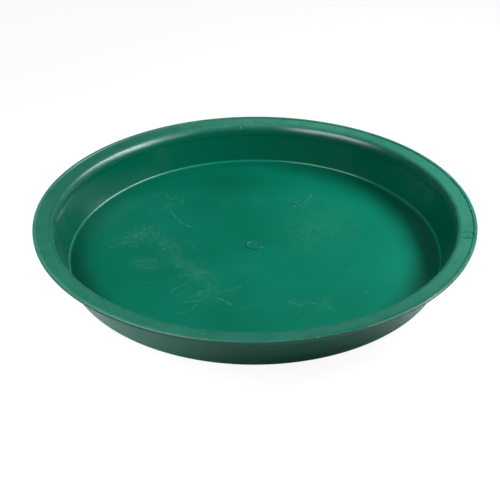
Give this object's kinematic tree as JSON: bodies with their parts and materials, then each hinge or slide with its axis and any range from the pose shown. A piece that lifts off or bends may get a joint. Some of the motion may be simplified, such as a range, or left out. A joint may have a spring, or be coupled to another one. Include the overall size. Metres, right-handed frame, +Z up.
{
  "type": "gold pan",
  "caption": "Shallow round plastic pan with a wide flat floor, a leaning wall and a turned-out flange rim, for washing gold-bearing gravel in water.",
  "frame": {"origin": "centre of the base, on the surface the pan rests on", "axes": "+Z up along the pan's axis of revolution, -Y towards the viewer of the picture, +X to the right"},
  "size_m": [0.356, 0.356, 0.0394],
  "materials": {
    "moulded_plastic": "satin"
  },
  "bodies": {
    "root": {"pan": "moulded_plastic"}
  },
  "joints": []
}
